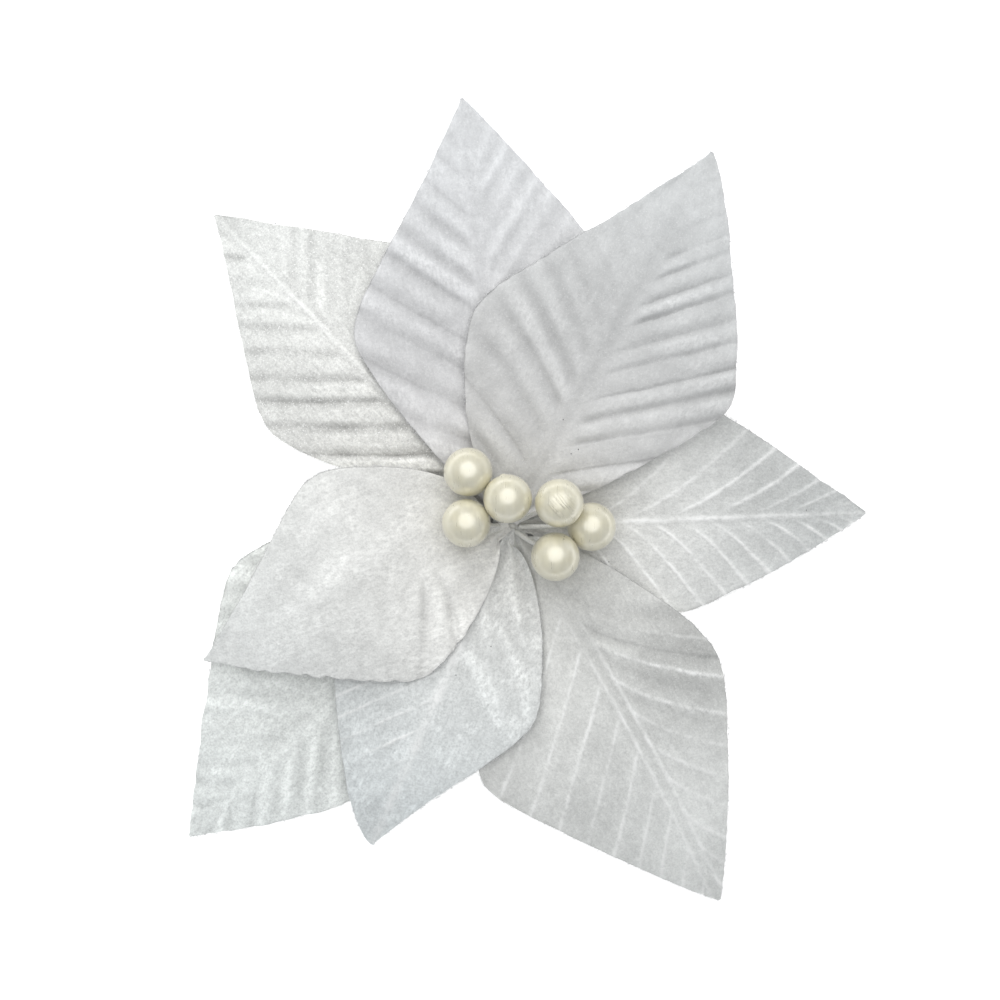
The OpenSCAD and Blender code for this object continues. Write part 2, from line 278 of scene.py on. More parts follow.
def velvet(leaf):
    """White stiffened velvet: a short crushed pile with pale ruffled spots, a speckled painted highlight
    on the ridges and painted shade in the valleys, white lines where the veins are pressed in, and
    halves and patches that differ with the lie of the pile and with painted light and shade."""
    look = Look(
        leaf.name + "_velvet", Sheen_Weight=0.25, Sheen_Roughness=0.4, Specular_IOR_Level=0.2, IOR=1.45,
    )
    on_leaf = look.attribute("leaf_place", vector=True)
    relief = look.attribute("relief")
    vein = look.attribute("vein")
    # The lie of the pile, mixed with painted light and shade.
    lie_and_painted_light = look.attribute("pile_lie_and_painted_light")
    pile = look.noise(0.36, 3, rough=0.7)
    tufts = look.noise(0.70, 4, place=on_leaf, squeeze=(0.6, 1.0, 1.0), rough=0.66)
    nap = look.noise(5.0, 4, place=on_leaf, squeeze=(0.45, 1.0, 1.0), rough=0.6)
    patches = look.noise(4.5, 5, rough=0.62)
    blotches = look.noise(1.9, 3, place=on_leaf, squeeze=(1.0, 0.6, 1.0), rough=0.6)
    ruffled = look.spread(patches, 0.48, 0.66)
    # Painted highlight: the ridges of the relief are made paler, speckled by the tufts.
    painted_crest_highlight = look.product(look.spread(relief, 0.2, 0.9), look.spread(tufts, 0.35, 0.60))
    bristle = look.product(ruffled, look.spread(tufts, 0.40, 0.62))
    level = look.product(
        look.spread(pile, 0.28, 0.72, 1 - 0.13 * leaf.grain, 1 + 0.13 * leaf.grain),
        look.spread(tufts, 0.3, 0.7, 1 - 0.09 * leaf.grain, 1 + 0.09 * leaf.grain),
        look.spread(nap, 0.3, 0.7, 0.93, 1.06),
        look.spread(blotches, 0.35, 0.65, 0.96, 1.04),
        # Painted shade: the valleys of the relief are made darker.
        look.spread(relief, -1.0, 0.4, 1 - leaf.shading, 1.0),
        # Partly the lie of the pile, partly painted light and shade.
        look.spread(lie_and_painted_light, -1.6, 1.6, 0.76, 1.24),
    )
    level = look.math("ADD", level, look.product(painted_crest_highlight, 0.16))
    level = look.math("ADD", level, look.product(bristle, leaf.patch))
    sparkle = look.spread(look.noise(0.24, 1), 0.62, 0.72)
    line = look.product(vein, look.spread(tufts, 0.34, 0.54, 0.35, 1.0))
    white = look.math("MAXIMUM", look.product(sparkle, leaf.glitter), line)
    along = look.add("ShaderNodeSeparateXYZ", {0: on_leaf}).outputs["X"]
    to_tip = look.spread(along, 0.2 * leaf.length * MM, 0.85 * leaf.length * MM)
    shift = 0.012 * leaf.cool_tip
    # The leaf's tint is its colour with painted light and shade for how the leaf is lit.
    red, green, blue = leaf.tint_and_shade
    warm = (red * (1 + shift), green, blue * (1 - shift), 1)
    cool = (red * (1 - shift), green, blue * (1 + 0.3 * shift), 1)
    tint_and_shade = look.mix(to_tip, warm, cool)
    colour = look.mix(white, look.scaled(tint_and_shade, level), (0.93, 0.93, 0.915, 1))
    dull = look.math("SUBTRACT", pile, look.product(sparkle, 0.4))
    roughness = look.spread(dull, 0.1, 0.7, 0.6, 0.95)
    normal = look.bump(nap, 0.15, 0.5)
    normal = look.bump(tufts, 0.14, 0.7, below=normal)
    normal = look.bump(pile, 0.08, 0.9, below=normal)
    return look.finish(colour, roughness, normal)


def stiffened_back(leaf):
    """The back of the velvet: a fine plain weave, stiff and a little shiny."""
    look = Look(leaf.name + "_back", Sheen_Weight=0.1, Specular_IOR_Level=0.4)
    on_leaf = look.attribute("leaf_place", vector=True)
    thread = 0.42
    weave = []
    for squeeze in ((1, 0, 0), (0, 1, 0)):
        place = look.in_units(on_leaf, thread, squeeze)
        wave = look.add(
            "ShaderNodeTexWave", {"Vector": place, "Scale": 0.314, "Distortion": 0.6, "Detail": 1.0},
            bands_direction="DIAGONAL",
        )
        weave.append(wave.outputs["Fac"])
    cloth = look.product(weave[0], weave[1])
    slub = look.noise(2.5, 3)
    level = look.product(look.spread(cloth, 0, 1, 0.93, 1.04), look.spread(slub, 0.3, 0.7, 0.96, 1.03))
    roughness = look.spread(slub, 0.3, 0.7, 0.55, 0.75)
    normal = look.bump(cloth, 0.05, 0.8)
    # The back takes the face's tint, with its painted light and shade.
    colour = look.scaled([0.97 * part for part in leaf.tint_and_shade], level)
    return look.finish(colour, roughness, normal)


def pearl_coat(name, scuffed=None):
    """Ivory pearl paint over a plastic bead, with a clear coat, fine brushed marks, and deeper
    scratches round the point scuffed, which is in millimetres."""
    look = Look(
        name, Metallic=0.15, Coat_Weight=1.0, Coat_Roughness=0.25, Coat_IOR=1.8, Sheen_Weight=0.4,
        Sheen_Roughness=0.2, Sheen_Tint=(1.0, 0.98, 0.88, 1), Specular_IOR_Level=1.0, IOR=1.75,
    )
    cloud = look.noise(2.2, 3)
    brushed = look.noise(0.7, 3, squeeze=(1.0, 0.12, 0.4), rough=0.55)
    colour = look.mix(look.spread(cloud, 0.3, 0.7), (0.73, 0.685, 0.50, 1), (0.77, 0.735, 0.58, 1))
    colour = look.scaled(colour, look.spread(brushed, 0.35, 0.65, 0.965, 1.04))
    roughness = look.spread(brushed, 0.35, 0.7, 0.27, 0.42)
    normal = look.bump(cloud, 0.03, 0.4)
    normal = look.bump(brushed, 0.005, 0.5, below=normal)
    if scuffed is not None:
        turned = look.add(
            "ShaderNodeMapping", {"Vector": look.place, "Rotation": (0, 0, math.radians(50))},
        )
        deep = look.noise(0.45, 2, place=turned.outputs[0], squeeze=(0.14, 1.0, 0.4))
        middle = tuple(float(k) * MM for k in scuffed)
        away = look.add("ShaderNodeVectorMath", {0: look.place, 1: middle}, operation="DISTANCE")
        near = look.spread(away.outputs["Value"], 1.3 * MM, 2.9 * MM, 1.0, 0.0)
        deep = look.product(look.spread(deep, 0.50, 0.60), near)
        normal = look.bump(deep, 0.13, 1.0, below=normal)
    return look.finish(colour, roughness, normal)


def wrapped_thread():
    look = Look("thread_wrap", Sheen_Weight=0.3, Specular_IOR_Level=0.3)
    fibre = look.noise(0.15, 3)
    colour = look.scaled((0.72, 0.72, 0.69), look.spread(fibre, 0.25, 0.75, 0.85, 1.1))
    return look.finish(colour, look.spread(fibre, 0.2, 0.8, 0.6, 0.9), look.bump(fibre, 0.04, 0.7))


def hot_glue():
    """Milky hot glue with tiny bubbles."""
    look = Look(
        "hot_glue", Subsurface_Weight=0.35, Subsurface_Scale=0.003, Subsurface_Radius=(1.0, 0.96, 0.9),
        Specular_IOR_Level=0.5, Coat_Weight=0.2, Coat_Roughness=0.2,
    )
    bubbles = look.noise(0.35, 2)
    cloud = look.noise(2.0, 2)
    colour = look.mix(look.spread(cloud, 0.3, 0.7), (0.68, 0.675, 0.635, 1), (0.76, 0.76, 0.73, 1))
    roughness = look.spread(bubbles, 0.3, 0.7, 0.25, 0.45)
    return look.finish(colour, roughness, look.bump(bubbles, 0.06, 0.5))


def wool_felt():
    """White felt: matted fibres in every direction."""
    look = Look("wool_felt", Sheen_Weight=0.3, Sheen_Roughness=0.5, Specular_IOR_Level=0.15)
    one_way = look.noise(0.5, 3, squeeze=(0.25, 1.6, 1.0), rough=0.65)
    other_way = look.noise(0.5, 3, squeeze=(1.6, 0.25, 1.0), rough=0.65)
    mat = look.math("MAXIMUM", one_way, other_way)
    lumps = look.noise(3.0, 3)
    level = look.product(
        look.spread(mat, 0.35, 0.75, 0.90, 1.05), look.spread(lumps, 0.3, 0.7, 0.96, 1.03),
    )
    normal = look.bump(lumps, 0.1, 0.4)
    normal = look.bump(mat, 0.09, 0.9, below=normal)
    roughness = look.spread(mat, 0.3, 0.8, 0.85, 1.0)
    return look.finish(look.scaled((0.71, 0.71, 0.69), level), roughness, normal)


def nickel_plate(name, shade, along):
    """Nickel plate on pressed steel: rolling marks along the sheet, scratches and dull wear."""
    look = Look(name, Metallic=1.0, Anisotropic=0.3)
    squeeze = [1.0, 1.0, 1.0]
    squeeze[along] = 0.04
    rolled = look.noise(0.25, 3, squeeze=squeeze, rough=0.6)
    wear = look.noise(3.0, 4, rough=0.65)
    spots = look.spread(look.noise(0.8, 3), 0.66, 0.76)
    scratches = look.spread(look.noise(0.35, 2, squeeze=(0.06, 0.9, 0.9)), 0.60, 0.66)
    bright = (shade, shade, shade * 0.98, 1)
    worn = (shade * 0.8, shade * 0.79, shade * 0.75, 1)
    colour = look.mix(look.spread(wear, 0.4, 0.7), bright, worn)
    colour = look.mix(look.product(spots, 0.5), colour, (0.35, 0.32, 0.27, 1))
    roughness = look.spread(rolled, 0.3, 0.7, 0.2, 0.34)
    roughness = look.math("ADD", roughness, look.spread(wear, 0.45, 0.75, 0, 0.18))
    roughness = look.math("ADD", roughness, look.product(scratches, 0.15))
    normal = look.bump(rolled, 0.01, 0.5)
    normal = look.bump(scratches, 0.012, 0.6, below=normal)
    return look.finish(colour, roughness, normal)


def loose_fibre(name, shade):
    look = Look(name, Sheen_Weight=0.4, Specular_IOR_Level=0.2, Roughness=0.9)
    twist = look.noise(0.2, 2)
    return look.finish(look.scaled((shade, shade, shade), look.spread(twist, 0.3, 0.7, 0.85, 1.1)))


# ---- Leaves ----
# Each outline and height follows the CAD model's formulas. A side is [half-width, place of the
# widest point along the leaf, fullness of the base, fullness of the tip].

def cot(degrees):
    return 1 / math.tan(math.radians(degrees))


@dataclass
class Veins:
    """One side's pleats and veins, which run out from the midrib.

    spacing and first are distances along the midrib, base and tip the angles that they make
    with it near the leaf's base and tip, start the angle at which they leave it and bend the
    distance in which they turn, and flare how much they open further towards the edge.
    pleat and line are heights, fade is where along the leaf the pleats die down to rest of
    their height, lines_from and lines_to are where the thin lines come up and die away, plain
    is the width of the smooth band beside the midrib, and valley makes the valleys narrower."""

    spacing: float
    first: float
    base: float
    tip: float
    start: float = None
    bend: float = 2.5
    flare: float = 0.0
    pleat: float = 0.0
    line: float = 0.0
    fade: tuple = (200, 210)
    rest: float = 0.15
    lines_from: tuple = (-10, -5)
    lines_to: tuple = (200, 210)
    plain: float = 1.0
    valley: float = 0.0

    def __post_init__(self):
        self.base_cot = cot(self.base)
        self.tip_cot = cot(self.tip)
        self.start_cot = cot(self.start or self.base)


@dataclass
class Fold:
    """A soft ridge, or a valley if its height is below zero, along a bent line on a leaf.

    start, middle and end are places as distances along the leaf and to its left."""

    start: tuple
    middle: tuple
    end: tuple
    height: float
    width: float

    def relief(self, s, t):
        start, middle, end = np.array([self.start, self.middle, self.end], float)
        nearest = np.full(s.shape, 1e6)
        taper = np.zeros(s.shape)
        for u in np.linspace(0, 1, 33):
            bend = 2 * middle - (start + end) / 2
            x, y = (1 - u) ** 2 * start + 2 * u * (1 - u) * bend + u ** 2 * end
            off = (s - x) ** 2 + (t - y) ** 2
            closer = off < nearest
            nearest = np.where(closer, off, nearest)
            taper = np.where(closer, math.sin(math.pi * (0.06 + 0.88 * u)) ** 0.8, taper)
        reach = nearest / self.width ** 2
        return self.height * taper * (np.exp(-reach) - 0.4 * np.exp(-reach / 4))


@dataclass
class Leaf:
    """One leaf. Distances s along it and t to its left are in millimetres, and v is the share
    of the half-width on its side.

    heading is in degrees, layer counts up from the lowest leaves, tip and rise are the heights
    of the tip and the crown, and left and right are the two sides of the outline.
    rib is the midrib's kind, height and half-width, and rib_bow its bow to the left. creases
    are the gathers at the neck, wave is the curl of the edges, ragged the unevenness of the
    cut, and scallops that of the left edge.
    tint is the pile's colour, made lighter or darker for each leaf as painted light and shade, glitter
    its share of bright fibres, grain its coarseness, patch the brightness of ruffled spots, shading the
    darkness of the painted shade in the valleys, and cool_tip how much cooler the tip is. side_lie,
    tip_lie, mid_lie and brushed say where the pile is painted lighter or darker, partly for the lie of
    the pile and partly as painted light and shade, the brushed patches being painted shade and painted
    light over cast shadows. shine is the whiteness of the pressed lines, and specks are the places of
    dark specks."""

    name: str
    heading: float
    length: float
    layer: int
    tip: float
    rise: float
    left: list
    right: list
    veins_left: Veins
    veins_right: Veins
    rib: tuple
    tint_and_shade: tuple
    seed: int
    rib_bow: float = 0.0
    creases: float = 0.22
    wave: float = 0.25
    ragged: float = 0.07
    scallops: float = 0.0
    folds: tuple = ()
    glitter: float = 0.25
    grain: float = 1.0
    patch: float = 0.05
    shading: float = 0.18
    cool_tip: float = 1.0
    side_lie: float = 0.0
    tip_lie: float = 0.0
    mid_lie: float = 0.0
    brushed: tuple = ()
    shine: float = 0.0
    specks: tuple = ()

    def uneven(self, x, y, kind):
        """Noise of the leaf's own, another one for each kind."""
        return noise(x, y, self.seed * 20 + kind)

    def half_width(self, side, s):
        half, widest, base_fullness, tip_fullness = getattr(self, side)
        peak = half + CORNER_ROUND / 2
        tip_part = np.maximum(self.length - s, 0) / (self.length * (1 - widest))
        base_part = np.maximum(s - NECK_END, 0) / (self.length * widest - NECK_END)
        tip_line = TIP_HALF + peak * tip_part ** tip_fullness
        base_line = NECK_HALF + (peak - NECK_HALF) * base_part ** base_fullness
        lower = (tip_line + base_line - np.sqrt((tip_line - base_line) ** 2 + CORNER_ROUND ** 2)) / 2
        pinched = 0.45 + 0.55 * smoothstep(0, NECK_END, s)
        return np.maximum(lower, TIP_HALF) * pinched

    def half_at(self, s, side):
        """Half-width on the left where side is above zero, and on the right where it's below."""
        return np.where(side < 0, self.half_width("right", s), self.half_width("left", s))

    def layer_z(self, r):
        return LEAF_BASE_Z + CROWN_RISE + self.layer * (LAYER_GAP + LAYER_SPREAD * r)

    def middle_z(self, s, t, v):
        r = np.hypot(s, t)
        fall = self.layer_z(self.length) - self.tip
        rise_part = (CROWN_RADIUS - r) / CROWN_RADIUS
        fall_part = (r - CROWN_RADIUS) / (self.length - CROWN_RADIUS)
        droop = np.where(r < CROWN_RADIUS, CROWN_RISE * rise_part ** 2, fall * fall_part ** 2)
        arch = self.rise * (1 - v ** 2) * np.sin(math.pi * s / self.length) ** 2
        gathered = (NECK_RISE - NECK_CLOSE * self.layer) * bell(s, 3.0)
        return self.layer_z(r) - droop + arch + gathered

    def rib_place(self, s):
        """How far the midrib bows to the left of the leaf's straight axis."""
        return self.rib_bow * np.sin(math.pi * np.clip(s / self.length, 0, 1))

    def side_relief(self, veins, s, across, seed):
        """Height of the pleats and veins on one side, at across millimetres from the midrib,
        and how much of a thin line there is."""
        turned = veins.bend * (1 - np.exp(-across / veins.bend))
        first_turn = veins.start_cot - veins.base_cot
        lead = veins.base_cot * across + first_turn * turned + veins.flare * across ** 2 / 2
        fan = (veins.tip_cot - veins.base_cot) / self.length
        root = (s - lead) / (1 + fan * across)
        slant = veins.base_cot + fan * root + first_turn * np.exp(-across / veins.bend)
        steepness = 1 / np.sqrt(1 + (slant + veins.flare * across) ** 2)
        phase = (root - veins.first) / veins.spacing
        phase += 0.10 * noise(root / 9, across / 14, seed)
        phase += 0.025 * noise(s / 3, across / 3, seed + 1)
        index = np.round(phase)
        uneven = 0.75 + 0.45 * lattice(index.astype(np.int64), 0, seed + 2)
        off = np.abs(phase - index) * veins.spacing * steepness
        pleat_part = (1 - (1 - veins.rest) * smoothstep(*veins.fade, s)) * smoothstep(3, 12, s)
        clear_of_rib = smoothstep(veins.plain * 0.5, veins.plain * 2.2, across)
        shape = np.cos(2 * math.pi * phase) - veins.valley * np.cos(4 * math.pi * phase)
        ragged = 0.8 + 0.5 * noise(s / 5, across / 5, seed + 4)
        pleats = veins.pleat * pleat_part * clear_of_rib * uneven * ragged * shape
        lines_part = smoothstep(*veins.lines_from, s) * (1 - smoothstep(*veins.lines_to, s))
        lines_part *= smoothstep(-0.4, 0.6, phase)
        lines_part *= smoothstep(0.3 * veins.plain, 1.4 * veins.plain, across)
        broken = np.clip(0.75 + 0.6 * noise(across / 1.3, index * 3.7, seed + 3), 0.15, 1)
        frayed = 0.22 * (1 + 0.35 * noise(s / 0.6, across / 0.6, seed + 5))
        lines = lines_part * broken * (0.6 + 0.5 * uneven) * bell(off, frayed)
        return pleats + veins.line * lines, lines * (veins.line > 0)

    def rib_relief(self, s, off):
        """Height of the midrib at off millimetres to its left, and how much of a thin line it is."""
        kind, height, half = self.rib
        grown = smoothstep(2, 8, s) * (1 - 0.55 * smoothstep(self.length * 0.55, self.length, s))
        broken = np.clip(0.75 + 0.5 * self.uneven(s / 2.2, 0.0, 18), 0.2, 1)
        if kind == "double":
            grown *= smoothstep(12, 34, s)
            line = bell(off - half, 0.30) + bell(off + half, 0.30)
            shape = line - 0.5 * bell(off, 0.6 * half)
        elif kind == "crease":
            line = np.zeros_like(off)
            shape = 0.5 * bell(off - 1.6 * half, half) - 0.8 * bell(off, half)
        else:
            line = bell(off, half)
            shape = line - 0.35 * bell(off + 2.2 * half, 1.4 * half)
        return height * grown * shape, line * broken * grown

    def relief(self, s, t, v):
        """Height above the CAD model's plain surface, and how white a pressed line is there."""
        off = t - self.rib_place(s)
        across = np.abs(off)
        left, left_line = self.side_relief(self.veins_left, s, across, self.seed * 20)
        right, right_line = self.side_relief(self.veins_right, s, across, self.seed * 20 + 7)
        height = np.where(off > 0, left, right)
        line = np.where(off > 0, left_line, right_line)
        rib, rib_line = self.rib_relief(s, off)
        folds = self.creases * np.cos(9.4 * v + 1.3 * self.seed) * np.exp(-np.maximum(s - 4, 0) / 6)
        folds *= smoothstep(0.5, 4.5, s)
        for fold in self.folds:
            folds += fold.relief(s, t)
        swell = 0.10 * self.uneven(s / 13, t / 13, 11)
        swell += 0.04 * self.uneven(s / 5, t / 5, 12)
        fuzz = 0.012 * self.uneven(s / 0.45, t / 0.45, 13)
        return height + rib + folds + swell + fuzz, self.shine * np.clip(line + rib_line, 0, 1)

    def pile_lie_and_painted_light(self, s, t):
        """Brightness of the pile, 0 where it lies evenly: the two halves and the two ends are brushed
        apart, partly for the lie of the pile and partly as painted light and shade, and soft patches
        given by their place, size and brightness are painted shade, and painted light over cast shadows."""
        lie_and_painted_light = self.side_lie * np.tanh((t - self.rib_place(s)) / 1.5)
        lie_and_painted_light += self.tip_lie * (2 * s / self.length - 1)
        lie_and_painted_light += self.mid_lie * np.sin(math.pi * s / self.length) ** 2
        for patch_s, patch_t, size, amount in self.brushed:
            lie_and_painted_light += amount * bell(np.hypot(s - patch_s, t - patch_t), size)
        return lie_and_painted_light + 0.12 * self.uneven(s / 9, t / 9, 17)

    def edge_wave(self, s, v):
        """How far the edges curl up or down."""
        near_edge = smoothstep(0.72, 1.0, np.abs(v))
        side = np.where(v < 0, 40.0, 0.0)
        spread = smoothstep(10, 22, s)
        return self.wave * near_edge * spread * self.uneven(s / 7 + side, side, 14)

    def grid(self, rows, columns):
        """Distance along, distance to the left, and share of the half-width, at each grid point."""
        s = LEAF_START + (self.length - LEAF_START) * np.linspace(0, 1, rows + 1) ** 1.12
        v = np.linspace(-1, 1, columns + 1)
        s, v = np.meshgrid(s, v, indexing="ij")
        half = self.half_at(s, v)
        side = np.where(v < 0, 50.0, 0.0)
        ragged = self.ragged * self.uneven(s / 1.1 + side, side, 15)
        ragged += 0.15 * self.uneven(s / 4 + side, side, 16)
        bites = np.abs(np.sin(s + 1.5 * self.uneven(s / 5, 0.5, 19))) - 0.5
        scallops = np.where(v > 0, self.scallops, 0) * (0.6 + 0.6 * noise(s / 4, 7.5, self.seed))
        ragged += scallops * bites
        grown = smoothstep(8, 16, s) * smoothstep(0.5, 3, self.length - s)
        t = v * (half + ragged * grown * np.abs(v) ** 6)
        return s, t, v

    def place(self, s, t, z):
        heading = math.radians(self.heading)
        x = HUB[0] + s * math.cos(heading) - t * math.sin(heading)
        y = HUB[1] + s * math.sin(heading) + t * math.cos(heading)
        return np.stack([x, y, z], -1)


LEAF_ROWS = 260
LEAF_COLUMNS = 150

# The tints and the brushed patches hold painted light and shade as well as each leaf's own tone.
LEAVES = [
    Leaf(
        "leaf_upper_left", 133.8, 72.2, 0, 0.25, 0.8, [18, 0.54, 0.95, 1.05], [23, 0.52, 1, 1],
        veins_left=Veins(5.5, 3.4, 52, 42, flare=0.01, pleat=0.60, fade=(24, 46), rest=0.3, valley=0.3),
        veins_right=Veins(4.4, 2, 46, 42, pleat=0.09, fade=(48, 72), rest=0.3),
        rib=("single", 0.2, 0.36), tint_and_shade=(0.765, 0.765, 0.74), glitter=0.95, grain=1.4, patch=0.04,
        shading=0.36, shine=0.24, tip_lie=-0.1, brushed=[(38, 9, 7, -0.45)], seed=1,
    ),
    Leaf(
        "leaf_right", 2, 59.6, 0, 0.25, 0.8, [21, 0.46, 1, 1], [15, 0.43, 1, 0.9],
        veins_left=Veins(6.7, 4, 50, 28, start=18, pleat=0.06, line=0.14, plain=1.7),
        veins_right=Veins(4.6, 3, 62, 38, start=20, bend=1.5, pleat=0.06, line=0.22, plain=1.5),
        rib=("single", 0.10, 0.42), tint_and_shade=(0.69, 0.695, 0.68), side_lie=-0.25, shine=1.0,
        brushed=[(28, 11, 8, 1.4), (48, 3, 9, -0.7), (25, -7, 9, 0.3)],
        specks=[(49.1, 0.8), (15.8, -6.6), (15.2, -7.4)], seed=2,
    ),
    Leaf(
        "leaf_bottom_left", -136, 75.4, 0, 0.25, 0.8, [14.5, 0.65, 1, 0.95], [27, 0.5, 0.5, 1],
        veins_left=Veins(5.5, 2, 50, 38, pleat=0.28),
        veins_right=Veins(5.5, 4, 50, 40, pleat=0.22),
        rib=("single", 0.16, 1.0), rib_bow=1.0, tint_and_shade=(0.84, 0.86, 0.835), glitter=0.5, grain=1.5,
        ragged=0.16, patch=0.14, brushed=[(64, 0, 9, 0.25)], seed=3,
    ),
    Leaf(
        "leaf_top", 96.7, 71.9, 1, 5, 0.8, [22, 0.48, 0.75, 1.1], [23, 0.49, 1, 0.95],
        veins_left=Veins(5.6, 3, 68, 36, pleat=0.32, fade=(44, 70), rest=0.3, valley=0.15),
        veins_right=Veins(5.4, 5, 56, 30, pleat=0.24, fade=(50, 70), rest=0.4),
        rib=("crease", 0.16, 0.8), tint_and_shade=(0.64, 0.64, 0.645), grain=0.55, patch=0.12,
        brushed=[(20, 11, 8, 0.7), (37, 11, 8, -0.4), (50, 5, 6, -0.2), (52, -4, 6, 0.25)], seed=4,
    ),
    Leaf(
        "leaf_lower_right", -61, 71.9, 1, 3, 0.8, [19.2, 0.48, 0.7, 0.9], [24.6, 0.48, 0.9, 0.95],
        veins_left=Veins(6.4, 2, 60, 42, start=24, bend=3.0, pleat=0.22, line=0.12, fade=(30, 50),
                         lines_from=(22, 34)),
        veins_right=Veins(6.2, 4, 54, 34, pleat=0.07, line=0.14, plain=1.8),
        rib=("double", 0.16, 1.0), rib_bow=1.5, tint_and_shade=(0.695, 0.70, 0.68), glitter=0.3,
        tip_lie=0.15, side_lie=-0.15, grain=0.9, shine=0.85, cool_tip=0.6,
        brushed=[
            (34, 15, 9, -1.6), (54, 6, 9, 1.0), (62, -1, 8, 0.7), (21, 5, 6, -0.35), (21, -3, 6, 0.35),
        ],
        seed=5,
    ),
    Leaf(
        "leaf_upper_right", 61.8, 70.5, 2, 9, 1.5, [22, 0.41, 0.5, 1.1], [22, 0.48, 0.85, 0.85],
        veins_left=Veins(5.0, 1, 60, 36, flare=-0.015, pleat=0.33, fade=(28, 50), plain=1.6, valley=0.2),
        veins_right=Veins(4.4, 3, 57, 36, pleat=0.31, fade=(44, 62), rest=0.2, plain=1.6, valley=0.2),
        rib=("crease", 0.12, 1.0), tint_and_shade=(0.63, 0.633, 0.63), grain=0.42, wave=0.45, ragged=0.12,
        patch=0.06, tip_lie=0.05, mid_lie=-0.35,
        brushed=[(40, 5, 9, -0.4), (20, -2, 9, 0.65), (26, -12, 6, 0.35), (36, -17, 7, -0.4)],
        specks=[(16.2, -3.7), (19.3, 0.8), (15.0, -3.0)], seed=6,
    ),
    Leaf(
        "leaf_bottom", -113.6, 58.1, 2, 8.5, 0.8, [16, 0.5, 0.6, 1.15], [19.5, 0.4, 1.1, 0.7],
        veins_left=Veins(5.6, 2, 30, 34, pleat=0.05, fade=(24, 42), rest=0.1),
        veins_right=Veins(5.4, 4, 42, 42, pleat=0.04, line=0.12, lines_from=(20, 30),
                          lines_to=(40, 48)),
        rib=("single", 0.08, 0.8), creases=0.3,
        folds=[
            Fold((16, 4.3), (21.6, 10.7), (29, 15.8), 0.55, 1.0),
            Fold((22, 1.5), (26.5, 7), (32, 11.5), 0.6, 1.6),
            Fold((6, 2), (11.3, 5.4), (18, 10.5), 0.5, 1.0),
            Fold((9, 0.3), (14.2, 1.2), (20, 5), 0.5, 1.1),
            Fold((12, -2), (20, -3), (27, -1), 0.30, 1.6),
        ],
        tint_and_shade=(0.72, 0.738, 0.732), grain=1.25, patch=0.2, shine=0.8, cool_tip=1.8, tip_lie=0.05,
        brushed=[(21, 7, 8, -0.45), (48, -1, 9, 0.7), (39, 10, 8, 0.8), (35, 2, 5, -0.4)],
        specks=[(19.6, 4.8), (26.2, 1.4)], seed=7,
    ),
    Leaf(
        "leaf_left", -156.4, 55.8, 3, 11.5, 2, [16.7, 0.41, 0.65, 0.95], [20.2, 0.49, 0.4, 1.15],
        veins_left=Veins(6.0, 3, 46, 60, pleat=0.09, fade=(16, 28)),
        veins_right=Veins(6.0, 3, 46, 46, pleat=0.06, fade=(20, 40)),
        rib=("crease", 0.06, 1.4),
        folds=[
            Fold((17, 2), (19.3, 8.4), (26, 21), -0.45, 0.8),
            Fold((14, 4), (15.6, 12), (20, 21), -0.45, 0.8),
            Fold((15.5, 4), (17.4, 10.2), (22, 20), 0.4, 1.3),
            Fold((23, 1), (24.5, 4.5), (27, 8), -0.25, 1.2),
            Fold((12, -8), (24, -5), (38, -4), 0.30, 3.0),
            Fold((20, -14), (30, -9), (44, -2), -0.20, 2.0),
        ],
        tint_and_shade=(0.763, 0.766, 0.747), glitter=0.35, patch=0.15, scallops=0.45,
        brushed=[(46, -1, 8, 0.4), (20, 12, 8, 0.25)], seed=8,
    ),
]


def make_leaf(leaf, fibre, grit):
    """The velvet sheet: an upper and a lower skin joined round the rim, with its frayed edge."""
    s, t, v = leaf.grid(LEAF_ROWS, LEAF_COLUMNS)
    relief, line = leaf.relief(s, t, v)
    middle = leaf.middle_z(s, t, v) + relief + leaf.edge_wave(s, v)
    thin_edge = 1 - 0.55 * smoothstep(0.985, 1.0, np.abs(v))
    half_thick = LEAF_THICK / 2 * thin_edge
    middle = np.maximum(middle, half_thick + 0.02)
    upper = leaf.place(s, t, middle + half_thick).reshape(-1, 3)
    lower = leaf.place(s, t, middle - half_thick).reshape(-1, 3)
    front, back = sheet_faces(*s.shape)
    piece = new_piece(
        leaf.name + "_cloth", np.concatenate([upper, lower]), np.concatenate([front, back]),
        [velvet(leaf), stiffened_back(leaf)],
        "flower", np.repeat([0, 1], [len(front), len(back)]),
    )
    values = {"relief": np.clip(relief * 3.0, -1, 1), "vein": line}
    values["pile_lie_and_painted_light"] = leaf.pile_lie_and_painted_light(s, t)
    for name in values:
        add_values(piece, name, np.tile(values[name].ravel(), 2))
    on_leaf = np.stack([s, t, np.zeros_like(s)], -1).reshape(-1, 3) * MM
    add_values(piece, "leaf_place", np.concatenate([on_leaf, on_leaf + [0, 0, MM]]))
    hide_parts(leaf.name)
    fray = make_fray(leaf, fibre, grit)


def three_round(centres, ways, across, radius):
    """Three points round each fibre's centre, with across square to its way."""
    up = np.cross(ways, across)
    return [centres + radius * (math.cos(a) * across + math.sin(a) * up) for a in turns_round(3)]


def make_speck(leaf, s, t):
    """Faces and corners of a dark speck, a small uneven grain."""
    v = t / leaf.half_at(s, t)
    z = leaf.middle_z(s, t, v) + leaf.relief(s, t, v)[0] + leaf.edge_wave(s, v)
    z += LEAF_THICK / 2 + 0.05
    uneven = [[1, 0.3, 0], [-1, 0.2, 0], [0, 1.3, 0], [0.2, -1, 0], [0, 0, 1], [0, 0, -1.2]]
    corners = leaf.place(s, t, z) + 0.1 * np.array(uneven)
    eight = [(a, b, c) for a in (0, 1) for b in (2, 3) for c in (4, 5)]
    return [face if sum(face) % 2 == 0 else face[::-1] for face in eight], corners


